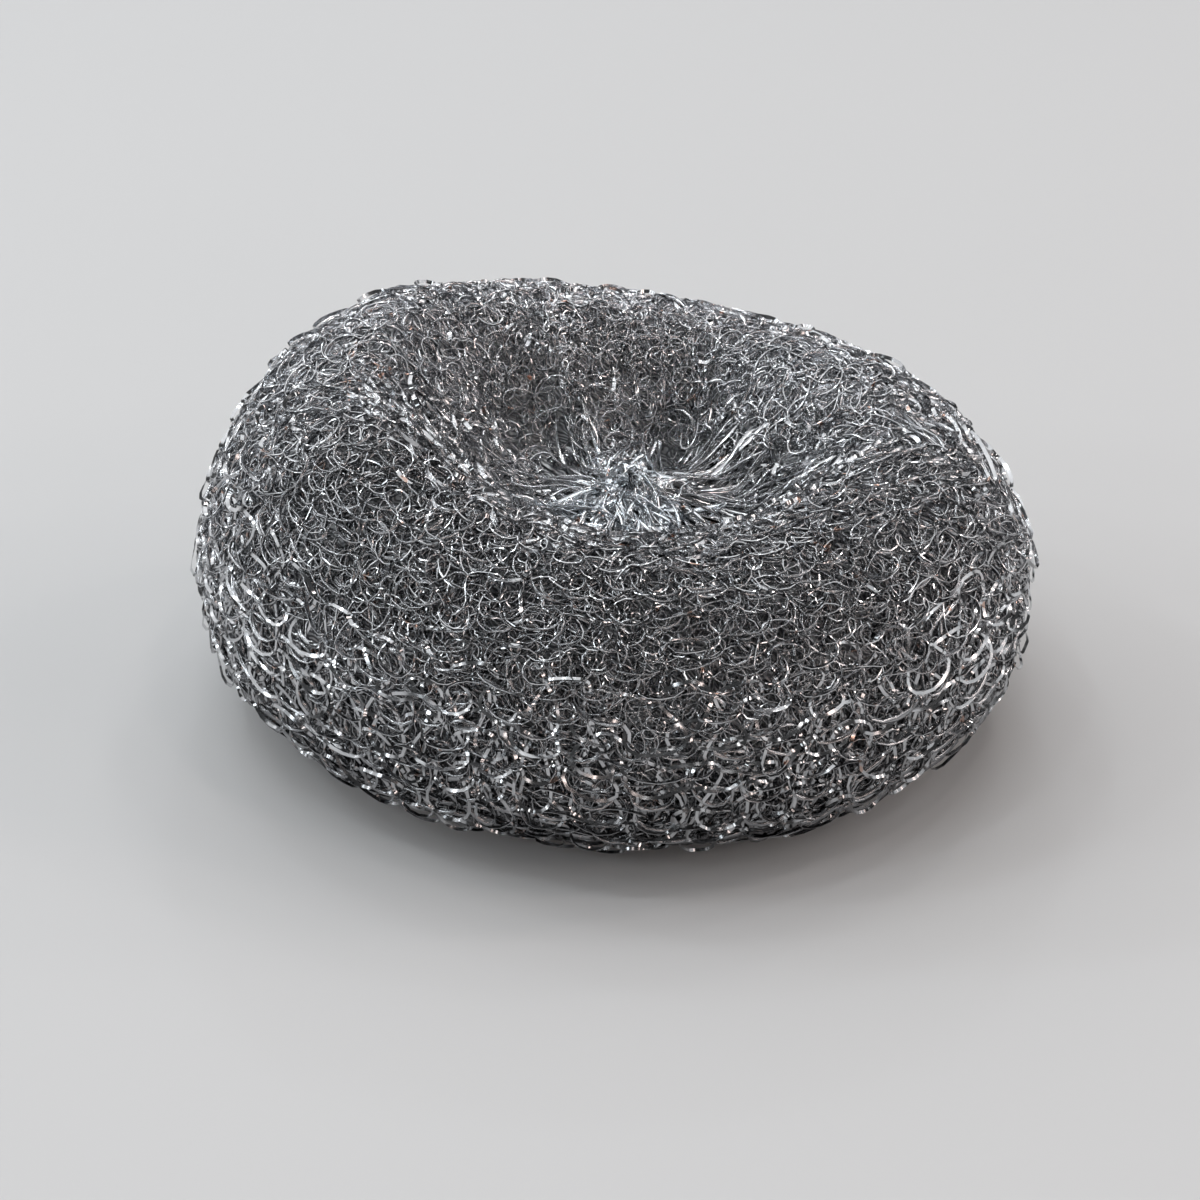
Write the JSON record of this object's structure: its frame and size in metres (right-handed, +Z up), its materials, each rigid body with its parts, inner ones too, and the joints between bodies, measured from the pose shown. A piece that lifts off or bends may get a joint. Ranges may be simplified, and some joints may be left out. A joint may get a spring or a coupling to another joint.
{
  "type": "knitted wire scouring pad",
  "caption": "Flat steel wire knitted into a tube, rolled on itself and gathered into a plump ring with a dimple on top and a small flat to rest on.",
  "frame": {"origin": "on the surface it rests on, under the middle of the roll's outline", "axes": "+X along the roll's long side, +Y to its far side as the picture shows it, +Z up out of the dimple"},
  "size_m": [0.0902, 0.0746, 0.0412],
  "materials": {
    "steel_wire": "bright rolled flat wire, bluish grey with small sharp glints"
  },
  "bodies": {
    "root": {"knitted_wire_roll": "steel_wire"}
  },
  "joints": []
}
